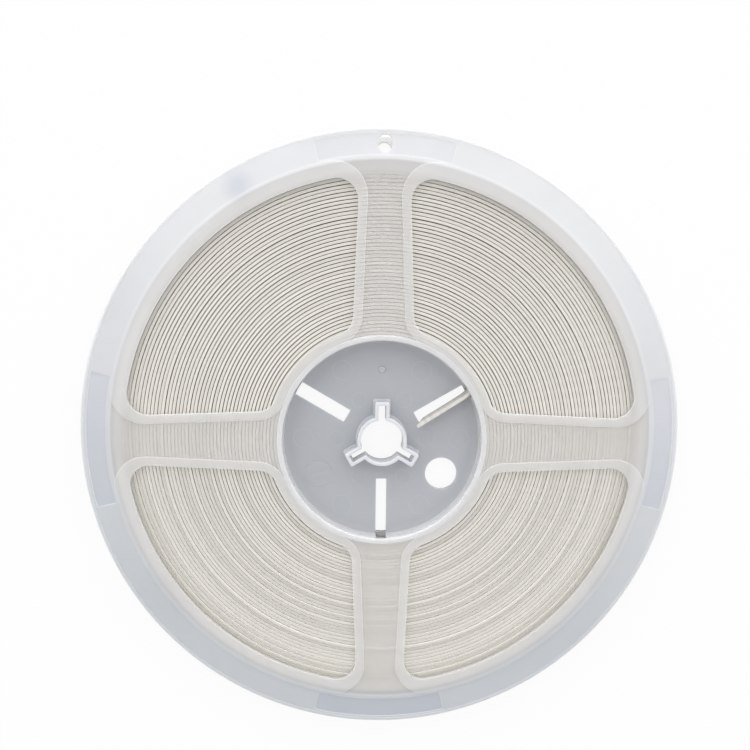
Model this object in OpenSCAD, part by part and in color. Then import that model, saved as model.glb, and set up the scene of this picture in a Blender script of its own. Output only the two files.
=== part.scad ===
// Plastic component reel, 180 mm, wound full with 8 mm paper carrier tape.
// The reel lies flat: the reel's axis is Z, its rear flange stands on z = 0 and
// its front flange faces up. The +Y direction points at the hole in the rim.

/* [Reel] */
// Outside diameter of both flanges
flange_d = 180; // [178:0.5:181]
// Thickness of the whole reel, measured over both flanges
reel_w = 11.6; // [11.2:0.1:13]
// Thickness of a flange over its raised edges
flange_t = 1.5; // [1.2:0.1:1.8]
// Depth of the sunk fields on a flange's spokes
field_depth = 0.4; // [0.1:0.05:0.6]
// How far the flat rim lies below a flange's raised edges
rim_depth = 0.12; // [0.05:0.01:0.3]
// Diameter of a flange's open mouth over the hub
mouth_d = 60.2; // [59:0.1:61]
// Width of the raised ring around the mouth
mouth_edge = 1.8; // [1:0.1:3]
// Width of the raised lip on the outer rim
rim_edge = 1.1; // [0.8:0.1:2]

/* [Windows] */
// Inner radius of the four windows
window_r_in = 34.4; // [33.5:0.1:37]
// Outer radius of the four windows
window_r_out = 77.3; // [74:0.1:78.5]
// Half width that a spoke would have at the reel's axis
spoke_half_w = 10.47; // [8:0.01:12]
// How far a spoke's sides lean together outwards, in degrees
spoke_taper = 2.3; // [0:0.1:5]
// Width of the raised frame beside a spoke's field and towards the hub
frame_w = 2.7; // [1.5:0.1:3]
// Width of that frame towards the rim
frame_out_w = 4.8; // [3:0.1:5]
// Radius of the frame's outer corners
frame_corner = 9.4; // [8:0.1:12]
// Corner radius of the windows
window_corner = 6; // [3:0.5:8]

/* [Rim] */
// Angle that each of the four bare marking fields spans, in degrees
marking_span = 26.8; // [15:0.1:30]
// Inner radius of the marking fields
marking_r_in = 82.6; // [82:0.1:84]
// Outer radius of the marking fields
marking_r_out = 88.4; // [86:0.1:88.5]
// How far the marking fields are sunk below the rim
marking_depth = 0.12; // [0.05:0.01:0.3]
// Radius at which the oblong rim hole sits
rim_hole_r = 85.7; // [84:0.1:87]
// Width of the oblong rim hole
rim_hole_w = 4.1; // [3:0.1:5]
// Length of the oblong rim hole along the radius
rim_hole_l = 4.9; // [4.5:0.1:6]

/* [Hub] */
// Outside diameter of the hub's drum, on which the tape is wound
drum_d = 64; // [63:0.5:66]
// Inside diameter of the drum
drum_bore_d = 61; // [60.5:0.1:62]
// Height of the hub's web above the reel's rear side
web_z = 1.7; // [1.5:0.1:3]
// Thickness of the hub's web
web_t = 1.5; // [1.2:0.1:2]
// Diameter of the spindle bore
bore_d = 13; // [12.8:0.1:13.5]
// Width of the three keyways
keyway_w = 2.3; // [1.5:0.1:2.5]
// Radius that the keyways reach
keyway_r = 10.9; // [10.1:0.1:11]
// Wall thickness of the collar around the bore and its keyways
collar_wall = 1; // [0.8:0.1:1.5]
// How far the collar's rim stays below the reel's front side
collar_drop = 1; // [0:0.1:4]
// Diameter of the index hole
index_d = 10; // [8:0.1:11]
// Distance of the index hole from the reel's axis
index_r = 21.8; // [20:0.1:23]
// Width of the two wide tape slots
slot_w = 4.3; // [3.5:0.1:5]
// Width of the narrow tape slot
narrow_slot_w = 3.3; // [2.5:0.1:4]
// Radius at which the tape slots begin
slot_r_in = 12.7; // [12.5:0.1:14]

/* [Tape] */
// Width of the carrier tape
tape_w = 8; // [7.9:0.05:8.1]
// Thickness of the carrier tape
tape_t = 0.95; // [0.7:0.05:1.1]
// Distance from one turn to the next
turn_pitch = 1.06; // [0.9:0.01:1.2]
// Number of full turns on the drum
turns = 46; // [30:1:48]
// Width of the gap between two turns at the tape's edge
turn_gap = 0.3; // [0.1:0.05:0.4]
// Depth of that gap
gap_depth = 0.9; // [0.4:0.1:1.5]
// How far single turns stand proud of the lowest ones
turn_play = 0.4; // [0:0.05:0.5]
// Number of feed holes around the outermost turn, 4 mm apart
feed_holes = 128; // [120:1:132]
// Diameter of the feed holes
feed_d = 1.5; // [1.4:0.05:1.6]
// Angle at which the tape's outer end lies, in degrees
tape_end_angle = 120; // [90:1:150]

/* [Tab] */
// Thickness of the adhesive tab on the tape's outer end
tab_t = 0.3; // [0.1:0.05:0.4]
// Width of the tab
tab_w = 7.4; // [6:0.1:7.8]

/* [Hidden] */
eps = 0.01;
beyond = 1;                          // overshoot of cutting shapes
round_fn = 96;
flange_r = flange_d / 2;
plate_t = flange_t - field_depth;
rim_t = flange_t - rim_depth;
mouth_r = mouth_d / 2;
gap_w = reel_w - 2 * flange_t;       // clear width between the flanges
drum_r = drum_d / 2;
drum_bore_r = drum_bore_d / 2;
web_top = web_z + web_t;
collar_top = reel_w - collar_drop;
slot_top = flange_t + gap_w - 0.4;   // upper end of the slots in the drum
front_ring_h = 0.6;                  // how deep the front flange's ring enters the drum
key_angles = [90, 210, 330];
// angle, width and sideways offset of each tape slot
slots = [[30, slot_w, 0.1], [150, slot_w, -0.6], [270, narrow_slot_w, 0.1]];
index_angle = -30;
tape_z = flange_t;                   // the lowest turns rest on the rear flange
wound_r = drum_r + turns * turn_pitch;

// the last part turn's outer side is a circle that starts just inside the round winding
last_r = wound_r + turn_pitch / 2 - 0.03;

function polar(r, a) = [r * cos(a), r * sin(a)];
function arc(c, r, a0, a1, n) = [for (i = [0:n]) c + polar(r, a0 + (a1 - a0) * i / n)];
function swapped(p) = [p[1], p[0]];

// Rounded rectangle from corner a to corner b
function round_rect(a, b, r) = concat(
    arc([b[0] - r, b[1] - r], r, 0, 90, 6),
    arc([a[0] + r, b[1] - r], r, 90, 180, 6),
    arc([a[0] + r, a[1] + r], r, 180, 270, 6),
    arc([b[0] - r, a[1] + r], r, 270, 360, 6));

// Half of a window's outline, from the 45 degree line inside, along the spoke's
// side, back to that line outside. Its edges lie "grow" outside the window's own, and
// the one towards the rim "out", with a corner of radius "corner" beside it.
function window_half(grow, out, corner) =
    let (c = window_corner + grow,
         side = spoke_half_w * cos(spoke_taper) - grow,
         r_in = window_r_in - grow + c,
         r_out = window_r_out + out - corner,
         along_in = sqrt(r_in * r_in - (side + c) * (side + c)),
         along_out = sqrt(r_out * r_out - (side + corner) * (side + corner)),
         p_in = polar(side + c, 90 - spoke_taper) + polar(along_in, -spoke_taper),
         p_out = polar(side + corner, 90 - spoke_taper) + polar(along_out, -spoke_taper),
         a_in = atan2(p_in[1], p_in[0]),
         a_out = atan2(p_out[1], p_out[0]),
         a_side = 270 - spoke_taper)
    concat(arc([0, 0], window_r_in - grow, 45, a_in, 6),
           [for (i = [1:9]) p_in + polar(c, 180 + a_in + (a_side - 180 - a_in) * i / 9)],
           [for (i = [0:8]) p_out + polar(corner, a_side + (360 + a_out - a_side) * i / 9)],
           arc([0, 0], window_r_out + out, a_out, 45, 12));

function window_outline(grow, out, corner) =
    let (h = window_half(grow, out, corner), n = len(h))
    concat([for (i = [1:n - 1]) h[i]], [for (i = [n - 2:-1:0]) swapped(h[i])]);

// Piece of a flat ring, centred on the X axis
function ring_piece(r0, r1, span) =
    concat(arc([0, 0], r1, -span / 2, span / 2, 12), arc([0, 0], r0, span / 2, -span / 2, 12));

// ---- flanges -------------------------------------------------------------

// Section of a flange through a spoke: raised ring at the mouth, sunk field that
// rises towards the flat rim, raised lip. The inner side is at z = 0 and the outer
// side at z = flange_t.
module flange_section() {
    edge = 0.25;
    field_end = window_r_out - 2;
    rim_r_in = window_r_out + frame_out_w;
    polygon([[mouth_r, 0], [flange_r - edge, 0], [flange_r, edge],
             [flange_r, flange_t - edge], [flange_r - edge, flange_t],
             [flange_r - rim_edge + edge, flange_t], [flange_r - rim_edge, rim_t],
             [rim_r_in, rim_t], [field_end, plate_t],
             [mouth_r + mouth_edge, plate_t], [mouth_r + mouth_edge - edge, flange_t],
             [mouth_r + edge, flange_t], [mouth_r, flange_t - edge]]);
}

// Low ring that centres a flange in the drum, open at the tape slots
module centring_ring(ring_h) {
    difference() {
        translate([0, 0, -ring_h])
            cylinder(h = ring_h + flange_t / 2, r = drum_bore_r, $fn = round_fn);
        translate([0, 0, -ring_h - beyond])
            cylinder(h = flange_t + 2 * beyond + ring_h, r = mouth_r, $fn = round_fn);
        for (s = slots) rotate(s[0])
            translate([mouth_r - 2, s[2] - s[1] / 2 - 0.5, -ring_h - beyond])
                cube([4, s[1] + 1, ring_h + beyond]);
    }
}

module flange(ring_h) {
    difference() {
        union() {
            rotate_extrude($fn = round_fn * 2) flange_section();
            centring_ring(ring_h);
            for (a = [0:90:270]) rotate(a)
                linear_extrude(flange_t) polygon(window_outline(frame_w, frame_out_w, frame_corner));
        }
        for (a = [0:90:270]) rotate(a) {
            translate([0, 0, -beyond])
                linear_extrude(flange_t + 2 * beyond)
                    polygon(window_outline(0, 0, window_corner));
            translate([0, 0, rim_t - marking_depth]) linear_extrude(flange_t)
                polygon(ring_piece(marking_r_in, marking_r_out, marking_span));
        }
        translate([0, 0, -beyond]) linear_extrude(flange_t + 2 * beyond)
            polygon(round_rect([-rim_hole_w / 2, rim_hole_r - rim_hole_l / 2],
                               [rim_hole_w / 2, rim_hole_r + rim_hole_l / 2],
                               rim_hole_w / 2 - eps));
    }
}

module front_flange() {
    color([0.88, 0.89, 0.91, 0.75]) translate([0, 0, reel_w - flange_t])
        flange(front_ring_h);
}

module rear_flange() {
    color([0.85, 0.86, 0.89, 0.75]) translate([0, 0, flange_t]) mirror([0, 0, 1])
        flange(web_z - flange_t);
}

// ---- hub -----------------------------------------------------------------

module drum() {
    difference() {
        translate([0, 0, flange_t]) cylinder(h = gap_w, r = drum_r, $fn = round_fn * 2);
        translate([0, 0, web_top])
            cylinder(h = reel_w, r = drum_bore_r, $fn = round_fn * 2);
        translate([0, 0, -beyond])
            cylinder(h = web_z + beyond, r = drum_bore_r, $fn = round_fn * 2);
    }
}

// Wall of a given thickness that follows the bore and the keyways up to a height
module collar_ring(wall, top) {
    half_w = keyway_w / 2 + wall;
    translate([0, 0, web_z]) linear_extrude(top - web_z) union() {
        circle(r = bore_d / 2 + wall, $fn = round_fn);
        for (a = key_angles) rotate(a)
            polygon(round_rect([0, -half_w], [keyway_r + wall, half_w], 0.6));
    }
}

// Thin-walled collar that stands on the web, with a low foot
module collar() {
    collar_ring(collar_wall, collar_top);
    collar_ring(collar_wall + 0.5, web_top + 0.5);
}

// Plain round mould mark: a ring groove, and a bar that stands up inside it
module mould_mark_ring() {
    translate([0, 0, web_top - 0.12]) difference() {
        cylinder(h = 1, d = 8.8, $fn = 48);
        translate([0, 0, -beyond]) cylinder(h = 1 + 2 * beyond, d = 8.1, $fn = 48);
    }
}
module mould_mark_bar() {
    translate([0, 0, web_top - eps]) rotate(20) linear_extrude(0.2)
        polygon(round_rect([-2, -0.35], [2, 0.35], 0.2));
}

module tape_slot(width, offset) {
    // through the web
    translate([0, 0, web_z - beyond]) linear_extrude(web_t + 2 * beyond)
        polygon(round_rect([slot_r_in, offset - width / 2],
                           [drum_bore_r + 1, offset + width / 2], 0.3));
    // through the drum, round at its upper end
    translate([drum_bore_r - 1, 0, 0]) rotate([90, 0, 90]) linear_extrude(4)
        polygon(round_rect([offset - width / 2, web_z - 2], [offset + width / 2, slot_top], 0.8));
}

module hub() {
    mark_depth = 0.12;
    mark_at = [-19.5, -11.1, 0];
    color([0.74, 0.76, 0.80]) difference() {
        union() {
            drum();
            collar();
            // locating pip on the web
            translate([0, 21.4, web_top - eps]) cylinder(h = 0.6, r1 = 1.1, r2 = 0.8, $fn = 32);
            translate(mark_at) mould_mark_bar();
        }
        translate([0, 0, -beyond])
            cylinder(h = reel_w + 2 * beyond, d = bore_d, $fn = round_fn);
        for (a = key_angles) rotate(a) translate([0, 0, -beyond])
            linear_extrude(reel_w + 2 * beyond)
                polygon(round_rect([0, -keyway_w / 2], [keyway_r, keyway_w / 2], 0.4));
        rotate(index_angle) translate([index_r, 0, -beyond])
            cylinder(h = reel_w, d = index_d, $fn = round_fn);
        for (s = slots) rotate(s[0]) tape_slot(s[1], s[2]);
        // shallow marks of the mould's ejectors: small ones at the collar, large ones
        // towards the drum
        for (a = [0:60:300], m = [[13.9, 4.6], [24.3, 6]]) rotate(a)
            translate([m[0], 0, web_top - mark_depth]) cylinder(h = 1, d = m[1], $fn = 32);
        translate(mark_at) mould_mark_ring();
    }
}

// ---- tape ----------------------------------------------------------------

// Height of one turn's edges over the lowest turn: the turns never lie quite level,
// and the last few have slipped down.
function turn_lift(i) =
    i > turns - 5 ? 0 : turn_play * pow(0.5 + 0.5 * sin(137.5 * i) * cos(23 * i), 1.5);

// Section of the wound turns: each turn is a flat land between two sharp gaps
module turns_section() {
    half_gap = turn_gap / 2;
    function edge_r(i) = drum_r + i * turn_pitch;
    top = tape_z + tape_w;
    polygon(concat(
        [[drum_r, top - gap_depth]],
        [for (i = [0:turns - 1]) each [
            [edge_r(i) + half_gap, top + turn_lift(i)],
            [edge_r(i + 1) - half_gap, top + turn_lift(i)],
            [edge_r(i + 1), top - gap_depth]]],
        [for (i = [turns - 1:-1:0]) each [
            [edge_r(i + 1), tape_z + turn_play + gap_depth],
            [edge_r(i + 1) - half_gap, tape_z + turn_lift(i)],
            [edge_r(i) + half_gap, tape_z + turn_lift(i)]]],
        [[drum_r, tape_z + turn_play + gap_depth]]));
}

// The last part turn, which grows out of the round winding and ends with a step
module last_turn() {
    translate([0, 0, tape_z]) rotate(tape_end_angle) difference() {
        translate([turn_pitch / 2, 0, 0])
            cylinder(h = tape_w, r = last_r, $fn = round_fn * 2);
        translate([0, 0, -beyond])
            cylinder(h = tape_w + 2 * beyond, r = wound_r - turn_pitch / 2, $fn = round_fn * 2);
        translate([-2 * flange_r, 0, -beyond])
            cube([4 * flange_r, 2 * flange_r, tape_w + 2 * beyond]);
    }
}

// Centre line of the tape's inner end: straight along the slot, then bent into the drum
tail_start = [10.6, 4.4];
tail_heading = 32.5;
tail_straight = 15.6;
tail_bend = 20;                      // how far the tape turns on its way out
tail_bend_l = 5.8;
tail_steps = 8;
function tail_bent(i) = i <= 0
    ? tail_start + polar(tail_straight, tail_heading)
    : tail_bent(i - 1) + polar(tail_bend_l / tail_steps,
                               tail_heading + tail_bend * (i - 0.5) / tail_steps);
function tail_side(s) = concat(
    [tail_start + polar(s, tail_heading + 90)],
    [for (i = [0:tail_steps])
        tail_bent(i) + polar(s, tail_heading + tail_bend * i / tail_steps + 90)]);

module inner_tail() {
    side = tail_side(tape_t / 2);
    other = tail_side(-tape_t / 2);
    n = len(side);
    cut_out = 3.3;                   // how much further the cut end reaches at the top
    difference() {
        translate([0, 0, tape_z]) linear_extrude(tape_w)
            polygon(concat(other, [for (i = [n - 1:-1:0]) side[i]]));
        // slanted cut of the tape's end
        translate([tail_start[0], tail_start[1], tape_z]) rotate([0, 0, tail_heading])
            rotate([90, 0, 0]) translate([0, 0, -2]) linear_extrude(4)
                polygon([[-1, -beyond], [cut_out, -beyond],
                         [-0.25, tape_w + beyond], [-1, tape_w + beyond]]);
    }
}

// Round feed holes along one edge of the tape: blind around the outermost turn, except
// under the tab, and right through the inner end
feed_z = tape_z + tape_w - 1.75;
feed_depth = 0.8;
function outer_r(a) = cos(a - tape_end_angle + 90) > 0
    ? last_r + turn_pitch / 2 * cos(a - tape_end_angle) : wound_r;
module feed_hole(r) {
    translate([r - feed_depth, 0, feed_z]) rotate([0, 90, 0])
        cylinder(h = 3, d = feed_d, $fn = 20);
}
module feed_hole_row() {
    for (i = [0:feed_holes - 1])
        let (a = (i + 0.5) * 360 / feed_holes)
        if (abs(a - tape_end_angle + tab_span / 2) > tab_span / 2 + 2)
            rotate(a) feed_hole(outer_r(a));
    translate([tail_start[0], tail_start[1], 0]) rotate(tail_heading)
        for (s = [3:4:15]) translate([s, 2, feed_z]) rotate([90, 0, 0])
            cylinder(h = 4, d = feed_d, $fn = 20);
}

module carrier_tape() {
    color([0.93, 0.92, 0.88]) difference() {
        union() {
            rotate_extrude($fn = round_fn * 2) turns_section();
            last_turn();
            inner_tail();
        }
        feed_hole_row();
    }
}

// ---- tab -----------------------------------------------------------------

// Thin adhesive tab: its flats touch the last turn, it runs over the tape's end and
// curls up behind it
tab_span = 16;                       // angle over which it sticks to the last turn
tab_rise = 4.6;                      // height of the curl above the last turn
tab_steps = 10;
tab_touch_r = last_r / cos(tab_span / tab_steps / 2);
tab_centre = polar(turn_pitch / 2, tape_end_angle);
function tab_line(s) = tab_centre + (s < 0
    ? polar(tab_touch_r, tape_end_angle + s * tab_span)
    : polar(tab_touch_r + tab_rise * sin(150 * s), tape_end_angle + 9 * s * (1.3 - s)));

module end_tab() {
    n = tab_steps;
    path = [for (i = [-n:n]) tab_line(i / n)];
    function normal(i) = let (d = path[min(i + 1, 2 * n)] - path[max(i - 1, 0)])
        [d[1], -d[0]] / norm(d);
    color([0.80, 0.84, 0.92, 0.8])
        translate([0, 0, tape_z + (tape_w - tab_w) / 2]) linear_extrude(tab_w)
            polygon(concat([for (i = [0:2 * n]) path[i] + tab_t * normal(i)],
                           [for (i = [2 * n:-1:0]) path[i]]));
}

front_flange();
rear_flange();
hub();
carrier_tape();
end_tab();
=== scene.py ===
"""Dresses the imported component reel: camera, light, floor and the finish of every piece."""

import logging
import math
from dataclasses import dataclass
from enum import Enum

import bpy
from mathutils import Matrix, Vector


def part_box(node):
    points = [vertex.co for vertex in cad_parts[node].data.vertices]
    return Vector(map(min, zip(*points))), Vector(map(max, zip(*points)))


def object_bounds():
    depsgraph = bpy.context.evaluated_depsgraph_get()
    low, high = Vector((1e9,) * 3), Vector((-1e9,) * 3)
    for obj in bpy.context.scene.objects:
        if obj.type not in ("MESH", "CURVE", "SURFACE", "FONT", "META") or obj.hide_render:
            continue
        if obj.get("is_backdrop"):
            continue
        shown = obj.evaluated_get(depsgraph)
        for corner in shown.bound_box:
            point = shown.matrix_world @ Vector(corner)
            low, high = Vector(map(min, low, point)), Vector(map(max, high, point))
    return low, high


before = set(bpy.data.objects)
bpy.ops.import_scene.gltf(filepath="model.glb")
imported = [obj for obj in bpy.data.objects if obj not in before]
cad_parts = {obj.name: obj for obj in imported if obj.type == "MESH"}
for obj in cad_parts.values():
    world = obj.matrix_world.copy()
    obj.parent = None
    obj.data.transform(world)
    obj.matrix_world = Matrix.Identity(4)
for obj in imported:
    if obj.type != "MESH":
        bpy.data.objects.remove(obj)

log = logging.getLogger("reel")
MM = 0.001
NOISE_MEAN = 0.5
Socket = bpy.types.NodeSocket
Colour = tuple[float, float, float]
Span = tuple[float, float]


def darker(colour: Colour, factor: float) -> Colour:
    """Returns a colour with each channel multiplied by the factor."""
    return tuple(channel * factor for channel in colour)


def shifted(span: Span, start: float) -> Span:
    """Returns a stretch that was counted from the start."""
    return start + span[0], start + span[1]


@dataclass(frozen=True)
class Pattern:
    """A noise pattern in the object's own coordinates.

    Attributes:
        scale: its scale.
        detail: how many octaves.
        roughness: how strong the finer ones are.
    """

    scale: float
    detail: float = 2.0
    roughness: float = 0.5


@dataclass(frozen=True)
class Relief:
    """How a pattern roughens a surface.

    Attributes:
        strength: the bump's strength.
        height: its height in metres.
    """

    strength: float
    height: float


@dataclass(frozen=True)
class Place:
    """Sockets that say where a shaded point lies on the object, in metres.

    Attributes:
        position: the object's own coordinates.
        x: their X.
        y: their Y.
        z: their Z, the height.
        radius: distance from the reel's axis.
    """

    position: Socket
    x: Socket
    y: Socket
    z: Socket
    radius: Socket


class NodeSheet:
    """Adds shader nodes to a tree in a few plain calls."""

    def __init__(self, tree: bpy.types.NodeTree) -> None:
        """Takes the tree that the nodes go into.

        Args:
            tree: the node tree.
        """
        self.tree = tree

    def add(self, kind: str, **settings: object) -> bpy.types.Node:
        """Adds a node and sets its own properties.

        Args:
            kind: the node's type, without the ShaderNode prefix.
            settings: property names and values.

        Returns:
            The new node.
        """
        node = self.tree.nodes.new("ShaderNode" + kind)
        for key, value in settings.items():
            setattr(node, key, value)
        return node

    def link(self, source: Socket, target: Socket) -> None:
        """Joins an output to an input."""
        self.tree.links.new(source, target)

    def feed(self, target: Socket, value: Socket | Colour | float) -> None:
        """Gives an input its value.

        Args:
            target: the input.
            value: a socket that it is joined to, or a constant.
        """
        if isinstance(value, Socket):
            self.link(value, target)
        elif target.type == "RGBA":
            target.default_value = (*value, 1.0)
        else:
            target.default_value = value

    def math(self, operation: str, first: Socket | float, second: Socket | float = 0.0,
             clamp: bool = False) -> Socket:
        """Adds one sum.

        Args:
            operation: the Math node's operation.
            first: a number or a socket.
            second: a number or a socket.
            clamp: whether the result is held between 0 and 1.

        Returns:
            The result's socket.
        """
        node = self.add("Math", operation=operation, use_clamp=clamp)
        self.feed(node.inputs[0], first)
        self.feed(node.inputs[1], second)
        return node.outputs[0]

    def plus(self, first: Socket | float, second: Socket | float) -> Socket:
        """Returns first + second."""
        return self.math("ADD", first, second)

    def minus(self, first: Socket | float, second: Socket | float) -> Socket:
        """Returns first - second."""
        return self.math("SUBTRACT", first, second)

    def times(self, first: Socket | float, second: Socket | float) -> Socket:
        """Returns first * second."""
        return self.math("MULTIPLY", first, second)

    def ramp(self, value: Socket, span: Span, to: Span = (0.0, 1.0),
             interpolation: str = "LINEAR") -> Socket:
        """Turns a stretch of a value into another stretch, held at both ends.

        Args:
            value: the socket that is read.
            span: where the stretch starts and ends.
            to: the results at its start and its end.
            interpolation: how it runs from one to the other.

        Returns:
            The result's socket.
        """
        node = self.add("MapRange", clamp=True, interpolation_type=interpolation)
        self.link(value, node.inputs["Value"])
        for key, number in (("From Min", span[0]), ("From Max", span[1]),
                            ("To Min", to[0]), ("To Max", to[1])):
            node.inputs[key].default_value = number
        return node.outputs["Result"]

    def vector(self, operation: str, first: Socket | Colour, second: Socket | Colour) -> Socket:
        """Adds one sum of two vectors or colours.

        Args:
            operation: the Vector Math node's operation.
            first: a vector or a socket.
            second: a vector or a socket.

        Returns:
            The result's socket: a number for a dot product, else a vector.
        """
        node = self.add("VectorMath", operation=operation)
        self.feed(node.inputs[0], first)
        self.feed(node.inputs[1], second)
        return node.outputs["Value" if operation == "DOT_PRODUCT" else "Vector"]

    def scaled(self, colour: Socket | Colour, factor: Socket) -> Socket:
        """Makes a colour lighter or darker.

        Args:
            colour: the colour or its socket.
            factor: the factor's socket.

        Returns:
            The result's socket.
        """
        node = self.add("VectorMath", operation="SCALE")
        self.feed(node.inputs[0], colour)
        self.link(factor, node.inputs["Scale"])
        return node.outputs[0]

    def blend(self, factor: Socket | float, first: Socket | Colour,
              second: Socket | Colour) -> Socket:
        """Mixes two colours.

        Args:
            factor: the second colour's share, a number or a socket.
            first: a colour or a socket.
            second: a colour or a socket.

        Returns:
            The mixed colour's socket.
        """
        node = self.add("Mix", data_type="RGBA")
        # the node keeps its colours on inputs 6 and 7 and mixes them on output 2
        for index, value in ((0, factor), (6, first), (7, second)):
            self.feed(node.inputs[index], value)
        return node.outputs[2]

    def noise(self, position: Socket, pattern: Pattern) -> Socket:
        """Adds a noise pattern.

        Args:
            position: where it is read.
            pattern: its sizes.

        Returns:
            The pattern's value, about 0 to 1.
        """
        node = self.add("TexNoise")
        self.link(position, node.inputs["Vector"])
        node.inputs["Scale"].default_value = pattern.scale
        node.inputs["Detail"].default_value = pattern.detail
        node.inputs["Roughness"].default_value = pattern.roughness
        return node.outputs["Fac"]

    def chance(self, number: Socket) -> Socket:
        """Draws a value for each whole number.

        Args:
            number: the number's socket.

        Returns:
            A value from 0 to 1, always the same for the same number.
        """
        node = self.add("TexWhiteNoise", noise_dimensions="1D")
        self.link(number, node.inputs["W"])
        return node.outputs["Value"]

    def place(self) -> Place:
        """Adds the object's own coordinates.

        Returns:
            The place of the shaded point.
        """
        position = self.add("TexCoord").outputs["Object"]
        parts = self.add("SeparateXYZ")
        self.link(position, parts.inputs[0])
        x, y, z = parts.outputs
        radius = self.math("SQRT", self.plus(self.times(x, x), self.times(y, y)))
        return Place(position, x, y, z, radius)

    def seen(self, path: bpy.types.Node) -> Socket:
        """Tells what is seen from what only gives light.

        Args:
            path: a Light Path node.

        Returns:
            1 for camera, glossy and transmission rays, else 0.
        """
        return self.math("MAXIMUM", path.outputs["Is Camera Ray"],
                         self.math("MAXIMUM", path.outputs["Is Glossy Ray"],
                                   path.outputs["Is Transmission Ray"]))


class MaterialSheet(NodeSheet):
    """One material and its nodes.

    Attributes:
        EDGE_SAMPLES: rays that look for an edge.
        EDGE_TURN: cosines of the angle between the rounded and the flat surface, from
            full edge to none.
    """

    EDGE_SAMPLES = 4
    EDGE_TURN: Span = (0.72, 0.97)

    def __init__(self, name: str, see_through: bool = False) -> None:
        """Starts an empty material with its output.

        Args:
            name: the finish's name.
            see_through: whether what lies behind it shows.
        """
        self.material = bpy.data.materials.new(name)
        self.material.use_nodes = True
        super().__init__(self.material.node_tree)
        self.tree.nodes.clear()
        self.output = self.add("OutputMaterial")
        if see_through:
            self.material.surface_render_method = "BLENDED"

    def principled(self, **values: float | Colour) -> bpy.types.Node:
        """Adds the surface shader with its constants on its own sockets.

        Args:
            values: socket names, with _ for a space, and constants.

        Returns:
            The shader node, linked to the output.
        """
        shader = self.add("BsdfPrincipled")
        for key, value in values.items():
            shader.inputs[key.replace("_", " ")].default_value = value
        self.link(shader.outputs[0], self.output.inputs["Surface"])
        return shader

    def scattering(self, distance: float, **values: float) -> bpy.types.Node:
        """Adds a surface shader that scatters light inside the piece.

        Args:
            distance: how far light travels there, in metres.
            values: further socket names and constants.

        Returns:
            The shader node.
        """
        return self.principled(Subsurface_Weight=1.0, Subsurface_Radius=(1.0, 1.0, 1.0),
                               Subsurface_Scale=distance, **values)

    def edges(self, width: float) -> Socket:
        """Finds the strips beside sharp edges, where a highlight is painted into the colour.

        Args:
            width: the strips' width in metres.

        Returns:
            1 at an edge, 0 away from it.
        """
        rounded = self.add("Bevel", samples=self.EDGE_SAMPLES)
        rounded.inputs["Radius"].default_value = width
        turn = self.vector("DOT_PRODUCT", rounded.outputs[0],
                           self.add("NewGeometry").outputs["True Normal"])
        return self.ramp(turn, self.EDGE_TURN, (1.0, 0.0))

    def bump(self, shader: bpy.types.Node, pattern: Socket, relief: Relief) -> None:
        """Lets a pattern roughen the shader's surface.

        Args:
            shader: the surface shader.
            pattern: the pattern's socket.
            relief: how strongly.
        """
        node = self.add("Bump")
        node.inputs["Strength"].default_value = relief.strength
        node.inputs["Distance"].default_value = relief.height
        self.link(pattern, node.inputs["Height"])
        self.link(node.outputs[0], shader.inputs["Normal"])


class Side(Enum):
    """The two sides of the reel, with the direction that each faces."""

    FRONT = 1
    REAR = -1


@dataclass(frozen=True)
class FlangePlace:
    """Where one flange lies, in metres.

    Attributes:
        side: which flange it is.
        outer: height of its outer side.
        inner: height of its inner side.
        drum: radius of the drum that the tape is wound on.
        wound: radius of the winding behind it.
        tab: X and Y of the adhesive tab's lowest corner.
    """

    side: Side
    outer: float
    inner: float
    drum: float
    wound: float
    tab: tuple[float, float]

    def level(self, share: float) -> float:
        """Returns the height that lies this share of the thickness below the outer side."""
        return self.outer - share * (self.outer - self.inner)


@dataclass(frozen=True)
class FlangeMasks:
    """Sockets, 0 to 1, that tell a flange's stretches apart.

    Attributes:
        raised: 1 on the raised frames, ring and lip of the outer side.
        inside: 1 on the inner side.
        lit_side: 1 on the +Y side, where the rim is painted lighter as if lit, 0 across from
            it, where it is painted darker as if in shade.
        edge: 1 along sharp edges, where a highlight is painted.
        cloud: uneven milkiness.
    """

    raised: Socket
    inside: Socket
    lit_side: Socket
    edge: Socket
    cloud: Socket


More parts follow.
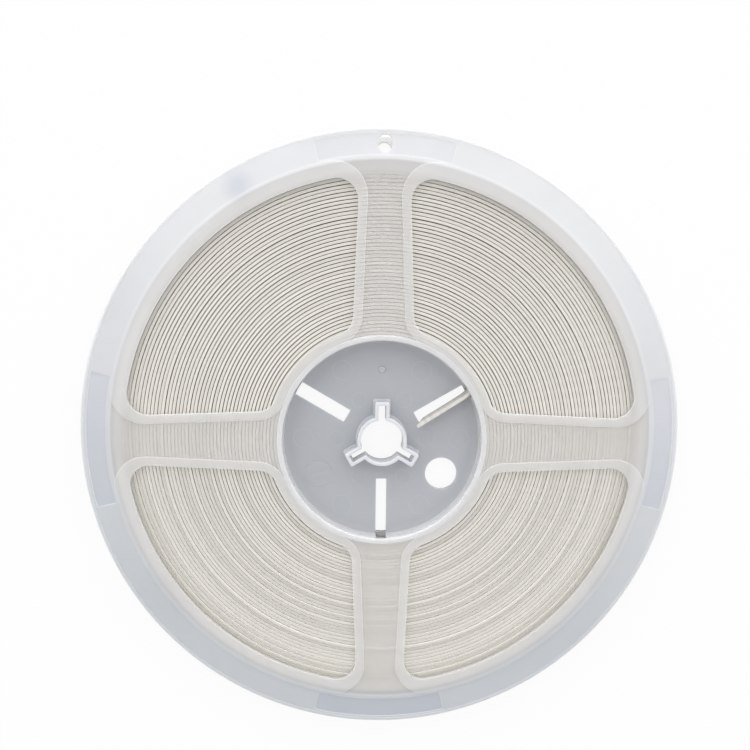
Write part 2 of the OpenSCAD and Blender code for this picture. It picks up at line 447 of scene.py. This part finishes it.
@dataclass(frozen=True)
class FlangeCover:
    """How much of what lies behind it a flange hides, as shares of 1, and where.

    Lengths are in metres.

    Attributes:
        sunk: cover of the sunk fields over the tape.
        raised: cover of the thicker raised frames.
        rim: cover beyond the winding.
        inner: factor of the cover on the inner side.
        cloud: how much the cover varies from place to place.
        edge: what the strips of painted highlight along sharp edges add.
        rim_span: stretch round the winding's radius over which it grows to the rim's.
        outer_span: stretch inside the winding's radius over which it starts to grow.
        outer_growth: how far it has grown there, in the fields and on the frames.
        far_span: stretch of the lit-side mask over which that growth gets full, so that the
            painted lighter rim reaches further in on the +Y side.
        far_growth: its factors at the two ends of that stretch.
    """

    sunk: float = 0.43
    raised: float = 0.60
    rim: float = 0.97
    inner: float = 0.13
    cloud: float = 0.04
    edge: float = 0.35
    rim_span: Span = (-0.5 * MM, 0.6 * MM)
    outer_span: Span = (-5.0 * MM, -2.2 * MM)
    outer_growth: Span = (0.42, 0.50)
    far_span: Span = (0.0, 0.5)
    far_growth: Span = (0.45, 1.0)

    def build(self, sheet: MaterialSheet, place: Place, masks: FlangeMasks,
              wound: float) -> Socket:
        """Adds the nodes.

        Args:
            sheet: the material's nodes.
            place: where the shaded point lies.
            masks: the flange's stretches.
            wound: radius of the winding.

        Returns:
            The cover's socket.
        """
        cover = sheet.plus(sheet.ramp(masks.raised, (0.0, 1.0), (self.sunk, self.raised)),
                           sheet.times(sheet.minus(masks.cloud, NOISE_MEAN), self.cloud))
        cover = sheet.times(cover, sheet.ramp(masks.inside, (0.0, 1.0), (1.0, self.inner)))
        past = sheet.ramp(place.radius, shifted(self.rim_span, wound))
        growth = sheet.times(sheet.ramp(place.radius, shifted(self.outer_span, wound)),
                             sheet.ramp(masks.raised, (0.0, 1.0), self.outer_growth))
        # the cover grows more on the +Y side, so that the painted lighter rim reaches further
        # in there
        growth = sheet.times(growth, sheet.ramp(masks.lit_side, self.far_span, self.far_growth))
        past = sheet.math("MAXIMUM", past, growth)
        cover = sheet.plus(cover, sheet.times(past, sheet.minus(self.rim, cover)))
        # painted highlight: the strips along sharp edges hide more of what lies behind
        return sheet.math("ADD", cover, sheet.times(masks.edge, self.edge), clamp=True)


@dataclass(frozen=True)
class FlangeTint:
    """The colours of a flange and where they lie, with lengths in metres.

    Attributes:
        rim: colour where nothing lies behind it, on the +Y side, where it is painted lighter as
            if lit.
        shaded_rim: the same across from there, painted darker as if in shade.
        over_tape: colour where the tape lies close behind it.
        raised: colour there where it is raised.
        edge: colour of the highlight painted along sharp edges.
        highlight_share: how strong that painted highlight is.
        marking: tint of the sunk marking fields on the +Y side, which is painted lighter.
        shaded_marking: tint of those across from there, where they are painted darker as if in
            shade.
        marking_from: depth below the outer side over which a marking field starts.
        marking_to: depth over which it ends.
        tab_shade: bluish shade of the adhesive tab behind the rim, painted into it, partly the
            film's own blue.
        tab_spot: where that is, counted from the tab's lowest corner.
        tab_reach: distance over which it fades.
        tape_span: stretch round the winding's radius over which the tape's part ends.
        drum_span: stretch round the drum's radius over which the drum's part ends.
        cloud_span: stretch of the uneven milkiness that darkens the colour.
        cloud_shade: factors at its two ends.
    """

    rim: Colour = (0.82, 0.825, 0.84)
    shaded_rim: Colour = (0.60, 0.62, 0.645)
    over_tape: Colour = (0.84, 0.825, 0.815)
    raised: Colour = (0.845, 0.835, 0.83)
    edge: Colour = (0.95, 0.95, 0.96)
    highlight_share: float = 0.80
    marking: Colour = (0.968, 0.972, 0.985)
    shaded_marking: Colour = (0.905, 0.916, 0.955)
    marking_from: Span = (0.17 * MM, 0.21 * MM)
    marking_to: Span = (0.27 * MM, 0.31 * MM)
    tab_shade: Colour = (0.885, 0.895, 0.94)
    tab_spot: tuple[float, float] = (6.0 * MM, 2.8 * MM)
    tab_reach: Span = (1.4 * MM, 5.6 * MM)
    tape_span: Span = (-1.2 * MM, 1.0 * MM)
    drum_span: Span = (-0.9 * MM, 0.4 * MM)
    cloud_span: Span = (0.2, 0.8)
    cloud_shade: Span = (0.96, 1.0)

    def _near_tab(self, sheet: MaterialSheet, place: Place, tab: tuple[float, float]) -> Socket:
        """Finds the soft spot where the tab's shade is painted into the rim.

        Args:
            sheet: the material's nodes.
            place: where the shaded point lies.
            tab: X and Y of the tab's lowest corner.

        Returns:
            1 in the spot, 0 away from it.
        """
        spot = (tab[0] + self.tab_spot[0], tab[1] + self.tab_spot[1], 0.0)
        offset = sheet.vector("SUBTRACT", place.position, spot)
        flat = sheet.vector("MULTIPLY", offset, (1.0, 1.0, 0.0))
        away = sheet.add("VectorMath", operation="LENGTH")
        sheet.link(flat, away.inputs[0])
        return sheet.ramp(away.outputs["Value"], self.tab_reach, (1.0, 0.0))

    def _rim(self, sheet: MaterialSheet, place: Place, masks: FlangeMasks,
             flange: FlangePlace) -> Socket:
        """Adds the rim's colour, painted lighter on the +Y side and darker across from it, with
        its marking fields and the tab's painted shade.

        Args:
            sheet: the material's nodes.
            place: where the shaded point lies.
            masks: the flange's stretches.
            flange: where the flange lies.

        Returns:
            The colour's socket.
        """
        # painted light and shade: the rim is lighter on the +Y side and darker across from it
        rim = sheet.blend(masks.lit_side, self.shaded_rim, self.rim)
        depth = sheet.times(sheet.minus(flange.outer, place.z), flange.side.value)
        sunk = sheet.times(sheet.ramp(depth, self.marking_from),
                           sheet.ramp(depth, self.marking_to, (1.0, 0.0)))
        # the marking fields are painted darker across from the +Y side too
        marked = sheet.blend(masks.lit_side, sheet.vector("MULTIPLY", rim, self.shaded_marking),
                             sheet.vector("MULTIPLY", rim, self.marking))
        rim = sheet.blend(sunk, rim, marked)
        # painted shade of the tab that lies behind the rim, tinted with the film's blue
        return sheet.blend(self._near_tab(sheet, place, flange.tab), rim,
                           sheet.vector("MULTIPLY", rim, self.tab_shade))

    def build(self, sheet: MaterialSheet, place: Place, masks: FlangeMasks,
              flange: FlangePlace) -> Socket:
        """Adds the nodes.

        Args:
            sheet: the material's nodes.
            place: where the shaded point lies.
            masks: the flange's stretches.
            flange: where the flange lies.

        Returns:
            The colour's socket.
        """
        behind = sheet.ramp(place.radius, shifted(self.tape_span, flange.wound), (1.0, 0.0))
        tint = sheet.blend(behind, self._rim(sheet, place, masks, flange),
                           sheet.blend(masks.raised, self.over_tape, self.raised))
        at_drum = sheet.ramp(place.radius, shifted(self.drum_span, flange.drum), (1.0, 0.0))
        tint = sheet.blend(at_drum, tint, self.rim)
        tint = sheet.scaled(tint, sheet.ramp(masks.cloud, self.cloud_span, self.cloud_shade))
        # painted highlight along sharp edges
        return sheet.blend(sheet.times(masks.edge, self.highlight_share), tint, self.edge)


@dataclass(frozen=True)
class MilkyFlange:
    """Thin milky plastic that scatters light and lets the tape behind it show faintly.

    Attributes:
        tint: its colours.
        cover: how much of what lies behind it shows.
        roughness: surface roughness.
        refraction: index of refraction.
        scatter: distance that light travels inside the plastic, in metres.
        raised_span: depths below the outer side, as shares of the thickness, at which
            it counts as sunk and as raised.
        inside_span: heights over the inner side, likewise, at which that side starts
            to end and has ended.
        lit_turn: angle from +Y towards +X at which the side painted lightest lies, in radians.
        lit_span: stretch of the sine of the angle over which the painted light grows.
        cloud: pattern of the uneven milkiness.
        highlight_width: width of the strips of painted highlight along sharp edges, in metres.
        skin: pattern of the fine roughness.
        relief: how strong that is.
    """

    tint: FlangeTint = FlangeTint()
    cover: FlangeCover = FlangeCover()
    roughness: float = 0.34
    refraction: float = 1.5
    scatter: float = 1.6 * MM
    raised_span: Span = (0.07, 0.02)
    inside_span: Span = (0.02, 0.08)
    lit_turn: float = 0.10
    lit_span: Span = (-0.62, 0.8)
    cloud: Pattern = Pattern(60.0, detail=3.0)
    highlight_width: float = 0.33 * MM
    skin: Pattern = Pattern(900.0)
    relief: Relief = Relief(0.10, 0.02 * MM)

    def _masks(self, sheet: MaterialSheet, place: Place, flange: FlangePlace) -> FlangeMasks:
        """Adds the nodes that tell the flange's stretches apart.

        Args:
            sheet: the material's nodes.
            place: where the shaded point lies.
            flange: where the flange lies.

        Returns:
            The masks.
        """
        raised = sheet.ramp(place.z, (flange.level(self.raised_span[0]),
                                      flange.level(self.raised_span[1])))
        inside = sheet.ramp(place.z, (flange.level(1.0 - self.inside_span[0]),
                                      flange.level(1.0 - self.inside_span[1])), (1.0, 0.0))
        # mask of the side that is painted lighter, towards +Y
        angle = sheet.plus(sheet.math("ARCTAN2", place.y, place.x), self.lit_turn)
        return FlangeMasks(raised=raised, inside=inside,
                           lit_side=sheet.ramp(sheet.math("SINE", angle), self.lit_span),
                           edge=sheet.edges(self.highlight_width),
                           cloud=sheet.noise(place.position, self.cloud))

    def build(self, flange: FlangePlace) -> bpy.types.Material:
        """Makes the material of one flange.

        Args:
            flange: where the flange lies.

        Returns:
            The material.
        """
        sheet = MaterialSheet(f"milky_plastic_{flange.side.name.lower()}", see_through=True)
        place = sheet.place()
        shader = sheet.scattering(self.scatter, Roughness=self.roughness,
                                  IOR=self.refraction)
        masks = self._masks(sheet, place, flange)
        sheet.link(self.cover.build(sheet, place, masks, flange.wound), shader.inputs["Alpha"])
        sheet.link(self.tint.build(sheet, place, masks, flange), shader.inputs["Base Color"])
        sheet.bump(shader, sheet.noise(place.position, self.skin), self.relief)
        return sheet.material


@dataclass(frozen=True)
class MilkyHub:
    """Thicker milky plastic of the hub, greyer because little light gets behind it.

    Attributes:
        colour: the plastic's colour.
        cloud: pattern of its darker places.
        cloud_shade: factor of the darkest.
        wall_colour: colour of the thin drum wall, painted lighter than the web for the white
            tape behind it.
        wall_span: stretch up to the web's edge over which that starts.
        glow_span: stretch over which the web is painted a little lighter with it, a painted
            glow from the wall.
        glow: how much of it.
        collar_colour: colour of the thin-walled collar round the bore, painted lighter than the
            web for the light that comes through its walls.
        collar_heights: heights over the web over which the collar starts.
        collar_span: radii over which it ends.
        edge: colour of the highlight painted along sharp edges.
        highlight_share: how strong that painted highlight is.
        highlight_width: width of those strips, in metres.
        roughness: surface roughness.
        refraction: index of refraction.
        scatter: distance that light travels inside the plastic, in metres.
        skin: pattern of the fine roughness.
        relief: how strong that is.
    """

    colour: Colour = (0.512, 0.527, 0.557)
    cloud: Pattern = Pattern(70.0, detail=3.0)
    cloud_shade: float = 0.96
    wall_colour: Colour = (0.86, 0.86, 0.87)
    wall_span: Span = (-0.3 * MM, -0.05 * MM)
    glow_span: Span = (-2.4 * MM, 0.0)
    glow: float = 0.22
    collar_colour: Colour = (0.72, 0.735, 0.775)
    collar_heights: Span = (0.1 * MM, 0.6 * MM)
    collar_span: Span = (13.0 * MM, 14.0 * MM)
    edge: Colour = (0.90, 0.90, 0.93)
    highlight_share: float = 0.45
    highlight_width: float = 0.22 * MM
    roughness: float = 0.40
    refraction: float = 1.5
    scatter: float = 1.6 * MM
    skin: Pattern = Pattern(700.0)
    relief: Relief = Relief(0.12, 0.02 * MM)

    def build(self, web_edge: float, web_top: float) -> bpy.types.Material:
        """Makes the material.

        Args:
            web_edge: radius at which the web meets the drum.
            web_top: height of the web's upper side.

        Returns:
            The material.
        """
        sheet = MaterialSheet("milky_plastic_hub")
        place = sheet.place()
        shader = sheet.scattering(self.scatter, Roughness=self.roughness,
                                  IOR=self.refraction)
        tint = sheet.blend(sheet.noise(place.position, self.cloud),
                           darker(self.colour, self.cloud_shade), self.colour)
        # the collar is painted lighter than the web, for the light through its thin walls
        in_collar = sheet.times(sheet.ramp(place.z, shifted(self.collar_heights, web_top)),
                                sheet.ramp(place.radius, self.collar_span, (1.0, 0.0)))
        tint = sheet.blend(in_collar, tint, self.collar_colour)
        # painted glow: the web is painted lighter towards the drum wall
        near_wall = sheet.ramp(place.radius, shifted(self.glow_span, web_edge),
                               (0.0, self.glow))
        tint = sheet.blend(near_wall, tint, self.wall_colour)
        # the drum wall is painted lighter for the white tape behind it
        at_wall = sheet.ramp(place.radius, shifted(self.wall_span, web_edge))
        tint = sheet.blend(at_wall, tint, self.wall_colour)
        # painted highlight along sharp edges
        edge = sheet.times(sheet.edges(self.highlight_width), self.highlight_share)
        sheet.link(sheet.blend(edge, tint, self.edge), shader.inputs["Base Color"])
        sheet.bump(shader, sheet.noise(place.position, self.skin), self.relief)
        return sheet.material


@dataclass(frozen=True)
class PaperTape:
    """White paper board, trimmed along its edges, with shade painted into the gaps between the
    turns.

    Light and shade are painted in differently on the two sides, so where a field
    is a pair of shares or factors over Y, the first holds on the -Y side and the
    second on the +Y side. Lengths are in metres.

    Attributes:
        paper: colour of the paper's face and trimmed edge.
        dullest_and_shade: factors of the least white turns, over Y, lower on the -Y side, where
            painted shade darkens them.
        grain_share: how much of a turn's white comes from the grain.
        outer_turn_shade: painted shade, a greyer paper, on the outermost turns.
        outer_shade_share: how strong that painted shade is, over Y.
        outer_span: stretch inside the winding's radius over which they start.
        lit_flank: painted light on the upper flanks of a gap.
        lit_flank_span: distances from a gap's middle over which it ends.
        flank: painted shade on the flanks further down.
        flank_share: how strong that painted shade is, over Y.
        flank_fade: distance over which it fades.
        shade: colour deep in the gaps.
        shade_half: least half width of that strip.
        shade_more: what a gap may have more.
        shade_width: factors of both, over Y.
        shade_fade: distance over which it fades.
        along: pattern in which a gap's width changes along it.
        sides: stretch of Y from the -Y side to the +Y side.
        first_gap: stretch outside the drum's radius over which the gaps start.
        last_gap: stretch inside the winding's radius over which they end.
        pitch: distance from one turn to the next.
        scatter: distance that light travels inside the paper.
        roughness: surface roughness.
        refraction: index of refraction.
        gloss: level of the mirrored light.
        grain: pattern of the paper's grain.
        relief: how strong that is as a roughness.
    """

    paper: Colour = (0.825, 0.80, 0.75)
    dullest_and_shade: Span = (0.74, 0.90)
    grain_share: float = 0.2
    outer_turn_shade: Colour = (0.66, 0.635, 0.57)
    outer_shade_share: Span = (0.45, 0.0)
    outer_span: Span = (-7.0 * MM, -4.5 * MM)
    lit_flank: Colour = (0.97, 0.94, 0.88)
    lit_flank_span: Span = (0.125 * MM, 0.16 * MM)
    flank: Colour = (0.40, 0.29, 0.20)
    flank_share: Span = (0.4, 0.85)
    flank_fade: float = 0.045 * MM
    shade: Colour = (0.012, 0.006, 0.003)
    shade_half: float = 0.040 * MM
    shade_more: float = 0.024 * MM
    shade_width: Span = (0.55, 1.22)
    shade_fade: float = 0.012 * MM
    along: Pattern = Pattern(45.0)
    sides: Span = (-30.0 * MM, 20.0 * MM)
    first_gap: Span = (0.1 * MM, 0.3 * MM)
    last_gap: Span = (-1.2 * MM, -1.0 * MM)
    pitch: float = 1.06 * MM
    scatter: float = 0.4 * MM
    roughness: float = 0.85
    refraction: float = 1.45
    gloss: float = 0.25
    grain: Pattern = Pattern(1400.0, detail=3.0, roughness=0.6)
    relief: Relief = Relief(0.12, 0.03 * MM)

    def _white(self, sheet: MaterialSheet, place: Place, across: Socket, grain: Socket,
               wound: float) -> Socket:
        """Adds the paper's colour, slightly different on each turn, with painted shade on the
        -Y side and on its outermost turns there.

        Args:
            sheet: the material's nodes.
            place: where the shaded point lies.
            across: how many turns lie between it and the drum.
            grain: the grain's socket.
            wound: radius of the winding.

        Returns:
            The colour's socket.
        """
        turn = sheet.chance(sheet.math("FLOOR", across))
        tone = sheet.plus(sheet.times(turn, 1.0 - self.grain_share),
                          sheet.times(grain, self.grain_share))
        # painted shade: the turns are painted duller on the -Y side
        dullest_and_shade = sheet.ramp(place.y, self.sides, self.dullest_and_shade)
        factor = sheet.plus(dullest_and_shade, sheet.times(tone, sheet.minus(1.0, dullest_and_shade)))
        # painted shade on the outermost turns, on the -Y side only
        last = sheet.times(sheet.ramp(place.radius, shifted(self.outer_span, wound)),
                           sheet.ramp(place.y, self.sides, self.outer_shade_share))
        return sheet.blend(last, sheet.scaled(self.paper, factor), self.outer_turn_shade)

    def _gaps(self, sheet: MaterialSheet, place: Place, across: Socket, drum: float,
              wound: float, paper: Socket) -> Socket:
        """Adds painted light on the upper flanks of the gaps between the turns and painted
        shade on the flanks below it and deep in the gaps.

        Args:
            sheet: the material's nodes.
            place: where the shaded point lies.
            across: how many turns lie between it and the drum.
            drum: radius of the drum.
            wound: radius of the winding.
            paper: the paper's colour.

        Returns:
            The colour's socket.
        """
        gap = sheet.math("ROUND", across)
        off = sheet.times(sheet.math("ABSOLUTE", sheet.minus(across, gap)), self.pitch)
        along = sheet.noise(place.position, self.along)
        uneven = sheet.plus(sheet.chance(gap), sheet.minus(along, NOISE_MEAN))
        half = sheet.plus(self.shade_half, sheet.times(self.shade_more, uneven))
        # the painted shade in the gaps is narrower on the -Y side
        half = sheet.times(half, sheet.ramp(place.y, self.sides, self.shade_width))
        past = sheet.minus(off, half)
        gapped = sheet.times(sheet.ramp(place.radius, shifted(self.first_gap, drum)),
                             sheet.ramp(place.radius, shifted(self.last_gap, wound),
                                        (1.0, 0.0)))

        def within(fade: float) -> Socket:
            """Returns 1 in a gap's dark strip, which fades over this distance."""
            share = sheet.math("SUBTRACT", 1.0, sheet.math("DIVIDE", past, fade), clamp=True)
            return sheet.times(gapped, share)

        # painted light on the upper flanks of the gaps
        in_lit_flank = sheet.times(gapped, sheet.ramp(off, self.lit_flank_span, (1.0, 0.0)))
        paper = sheet.blend(in_lit_flank, paper, self.lit_flank)
        # painted shade on the flanks, stronger on the +Y side
        by_gap = sheet.times(within(self.flank_fade),
                             sheet.ramp(place.y, self.sides, self.flank_share))
        paper = sheet.blend(by_gap, paper, self.flank)
        # painted shade deep in the gaps
        return sheet.blend(within(self.shade_fade), paper, self.shade)

    def build(self, drum: float, wound: float) -> bpy.types.Material:
        """Makes the material.

        Args:
            drum: radius of the drum.
            wound: radius of the winding.

        Returns:
            The material.
        """
        sheet = MaterialSheet("paper_board")
        place = sheet.place()
        shader = sheet.scattering(self.scatter, Roughness=self.roughness,
                                  IOR=self.refraction, Specular_IOR_Level=self.gloss)
        across = sheet.math("DIVIDE", sheet.minus(place.radius, drum), self.pitch)
        grain = sheet.noise(place.position, self.grain)
        paper = self._white(sheet, place, across, grain, wound)
        paper = self._gaps(sheet, place, across, drum, wound, paper)
        sheet.link(paper, shader.inputs["Base Color"])
        sheet.bump(shader, grain, self.relief)
        return sheet.material


@dataclass(frozen=True)
class ClearFilm:
    """Clear adhesive film with a faint blue cast.

    Attributes:
        colour: the film's colour.
        streak: pattern of its darker streaks.
        streak_shade: factor of the darkest.
        cover: how much it hides of what lies behind it.
        roughness: surface roughness.
        refraction: index of refraction.
        relief: how strong the streaks are as a roughness.
    """

    colour: Colour = (0.62, 0.68, 0.78)
    streak: Pattern = Pattern(260.0)
    streak_shade: float = 0.9
    cover: float = 0.55
    roughness: float = 0.25
    refraction: float = 1.48
    relief: Relief = Relief(0.2, 0.05 * MM)

    def build(self) -> bpy.types.Material:
        """Makes the material.

        Returns:
            The material.
        """
        sheet = MaterialSheet("clear_film", see_through=True)
        shader = sheet.principled(Roughness=self.roughness, IOR=self.refraction,
                                  Alpha=self.cover)
        streak = sheet.noise(sheet.place().position, self.streak)
        sheet.link(sheet.blend(streak, darker(self.colour, self.streak_shade), self.colour),
                   shader.inputs["Base Color"])
        sheet.bump(shader, streak, self.relief)
        return sheet.material


def dress(node: str, material: bpy.types.Material) -> None:
    """Gives a solid its finish.

    Args:
        node: the solid's name.
        material: its finish.
    """
    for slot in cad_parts[node].material_slots:
        slot.material = material
    log.info("%s: %s", node, material.name)


@dataclass
class Reel:
    """The plastic pieces of the reel and their finishes.

    Attributes:
        flange: finish of both flanges.
        hub: finish of the hub.
        flange_thickness: thickness of a flange.
        drum_wall: thickness of the hub's drum.
        web_height: height of the web's upper side over the hub's lower edge.
    """

    flange: MilkyFlange = MilkyFlange()
    hub: MilkyHub = MilkyHub()
    flange_thickness: float = 1.5 * MM
    drum_wall: float = 1.5 * MM
    web_height: float = 1.7 * MM

    def build(self) -> None:
        """Dresses both flanges and the hub."""
        hub_low, hub_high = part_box("hub")
        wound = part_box("carrier_tape")[1].x
        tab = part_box("end_tab")[0]
        for side in Side:
            node = f"{side.name.lower()}_flange"
            low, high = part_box(node)
            outer = high.z if side is Side.FRONT else low.z
            inner = outer - side.value * self.flange_thickness
            place = FlangePlace(side, outer, inner, hub_high.x, wound, (tab.x, tab.y))
            dress(node, self.flange.build(place))
        dress("hub", self.hub.build(hub_high.x - self.drum_wall, hub_low.z + self.web_height))


@dataclass
class WoundTape:
    """The wound carrier tape and the tab on its outer end.

    Attributes:
        paper: finish of the tape.
        film: finish of the tab.
    """

    paper: PaperTape = PaperTape()
    film: ClearFilm = ClearFilm()

    def build(self) -> None:
        """Dresses the tape and the tab."""
        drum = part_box("hub")[1].x
        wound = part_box("carrier_tape")[1].x
        dress("carrier_tape", self.paper.build(drum, wound))
        dress("end_tab", self.film.build())


@dataclass(frozen=True)
class SoftLight:
    """A wide soft light that faces the reel.

    Attributes:
        place: where it hangs.
        width: its width.
        height: its height.
        power: its power in watts.
    """

    place: tuple[float, float, float]
    width: float
    height: float
    power: float

    def hang(self, name: str) -> None:
        """Adds the light to the scene.

        Args:
            name: the light's name.
        """
        data = bpy.data.lights.new(name, "AREA")
        data.shape = "RECTANGLE"
        data.size, data.size_y, data.energy = self.width, self.height, self.power
        lamp = bpy.data.objects.new(name, data)
        lamp.location = self.place
        lamp.rotation_euler = (-Vector(self.place)).to_track_quat("-Z", "Y").to_euler()
        bpy.context.collection.objects.link(lamp)


@dataclass(frozen=True)
class Sky:
    """Light from all round, strongest from one side above; seen, it is white.

    Attributes:
        side: where it is strongest.
        spread: stretch, as the cosine of the angle to that side, over which it grows.
        strength: its strength away from there and there.
    """

    side: tuple[float, float, float] = (-0.03, 0.55, 0.83)
    spread: Span = (-0.2, 1.0)
    strength: Span = (0.38, 1.24)

    def build(self) -> None:
        """Makes it the scene's world."""
        world = bpy.data.worlds.new("studio")
        world.use_nodes = True
        sheet = NodeSheet(world.node_tree)
        back = world.node_tree.nodes["Background"]
        sheet.feed(back.inputs["Color"], (1.0, 1.0, 1.0))
        toward = sheet.vector("DOT_PRODUCT", sheet.add("TexCoord").outputs["Generated"],
                              tuple(Vector(self.side).normalized()))
        light = sheet.ramp(toward, self.spread, self.strength, "SMOOTHSTEP")
        level = sheet.add("Mix")
        for index, value in ((0, sheet.seen(sheet.add("LightPath"))), (2, light), (3, 1.0)):
            sheet.feed(level.inputs[index], value)
        sheet.link(level.outputs[0], back.inputs["Strength"])
        bpy.context.scene.world = world


@dataclass(frozen=True)
class Floor:
    """A pale floor that is nearly white where it is seen and keeps a soft shadow.

    Attributes:
        size: its width.
        colour: its colour.
        white: how much of what is seen of it is plain white.
    """

    size: float = 3.0
    colour: Colour = (0.9, 0.9, 0.9)
    white: float = 0.90

    def build(self) -> None:
        """Lays the floor under the reel."""
        bpy.ops.mesh.primitive_plane_add(size=self.size, location=(0, 0, 0))
        floor = bpy.context.object
        floor.name = "floor"
        sheet = MaterialSheet("pale_floor")
        diffuse = sheet.add("BsdfDiffuse")
        sheet.feed(diffuse.inputs["Color"], self.colour)
        glow = sheet.add("Emission")
        sheet.feed(glow.inputs["Color"], (1.0, 1.0, 1.0))
        glow.inputs["Strength"].default_value = 1.0
        path = sheet.add("LightPath")
        # seen through the milky plastic, the floor is only lit, so that it looks duller
        direct = sheet.math("LESS_THAN", path.outputs["Transparent Depth"], 0.5)
        share = sheet.times(sheet.times(sheet.seen(path), direct), self.white)
        mix = sheet.add("MixShader")
        for index, value in ((0, share), (1, diffuse.outputs[0]), (2, glow.outputs[0])):
            sheet.link(value, mix.inputs[index])
        sheet.link(mix.outputs[0], sheet.output.inputs["Surface"])
        floor.data.materials.append(sheet.material)
        floor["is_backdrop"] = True


@dataclass(frozen=True)
class Camera:
    """The camera above the reel.

    Attributes:
        place: its X, its Y and its height over the reel's upper side.
        turn: its rotation in degrees.
        lens: focal length in millimetres.
        sensor: sensor width in millimetres.
        shift: sideways and upward shift that frames the reel.
    """

    place: tuple[float, float, float] = (-7.99 * MM, 32.36 * MM, 239.2 * MM)
    turn: tuple[float, float, float] = (-9.716, -1.671, 0.631)
    lens: float = 38.4
    sensor: float = 36.0
    shift: tuple[float, float] = (-0.0067, 0.1267)

    def build(self) -> None:
        """Adds the camera and makes it the scene's own."""
        x, y, over = self.place
        data = bpy.data.cameras.new("camera")
        data.lens, data.sensor_width = self.lens, self.sensor
        data.shift_x, data.shift_y = self.shift
        camera = bpy.data.objects.new("camera", data)
        camera.location = (x, y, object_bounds()[1].z + over)
        camera.rotation_euler = [math.radians(angle) for angle in self.turn]
        bpy.context.collection.objects.link(camera)
        bpy.context.scene.camera = camera


@dataclass
class Studio:
    """Floor, light and camera.

    Attributes:
        floor: the floor.
        sky: the light from all round.
        key: the large light above the reel's upper side.
        low: the wide low light that shines in between the flanges from there.
        camera: the camera.
    """

    floor: Floor = Floor()
    sky: Sky = Sky()
    key: SoftLight = SoftLight((-0.05, 0.40, 0.65), 0.80, 0.80, 0.4)
    low: SoftLight = SoftLight((0.0, 0.90, 0.075), 1.60, 0.13, 5.0)
    camera: Camera = Camera()

    def build(self) -> None:
        """Sets up everything round the reel."""
        self.floor.build()
        self.sky.build()
        self.key.hang("key")
        self.low.hang("low")
        self.camera.build()


def main() -> None:
    """Builds the studio and dresses the reel."""
    logging.basicConfig(level=logging.INFO, format="%(name)s: %(message)s")
    bpy.context.scene.view_settings.view_transform = "Standard"
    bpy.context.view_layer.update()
    Studio().build()
    Reel().build()
    WoundTape().build()


if __name__ == "__main__":
    main()
